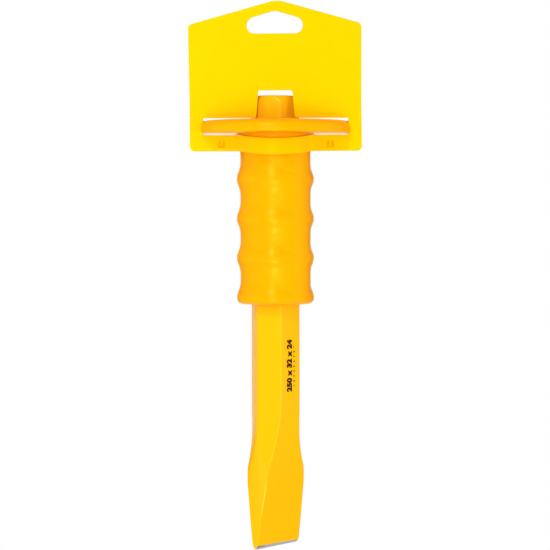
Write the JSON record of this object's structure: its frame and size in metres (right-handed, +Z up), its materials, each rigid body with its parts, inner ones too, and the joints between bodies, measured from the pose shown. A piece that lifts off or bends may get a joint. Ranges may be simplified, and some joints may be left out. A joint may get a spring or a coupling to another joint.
{
  "type": "flat cold chisel with hand guard on a hanger card",
  "caption": "Flat cold chisel forged from hexagon bar, with a soft finger-grooved hand guard and round flange, hanging by its flange in a moulded peg-hook card.",
  "frame": {"origin": "centre of the cutting edge, on the chisel's axis, which is also the bottom centre of the whole part's box", "axes": "+Z up the chisel's axis to the struck head and the hang hole; -Y is the side the hanger card's face looks to; +X to the right seen from that side"},
  "size_m": [0.0946, 0.0824, 0.3019],
  "materials": {
    "painted_steel": "gloss stoved enamel over forged steel, ground bare at the cutting edge",
    "soft_pvc": "satin moulded soft PVC",
    "card_polypropylene": "smooth moulded polypropylene sheet"
  },
  "bodies": {
    "hanger": {"hanger_card": "card_polypropylene"},
    "chisel": {"chisel_bar": "painted_steel", "hand_guard": "soft_pvc"}
  },
  "joints": [
    {"name": "chisel_pull_out", "type": "slide", "parent": "hanger", "child": "chisel", "axis": [0, 1, 0], "range_m": [0, 0.06]}
  ]
}
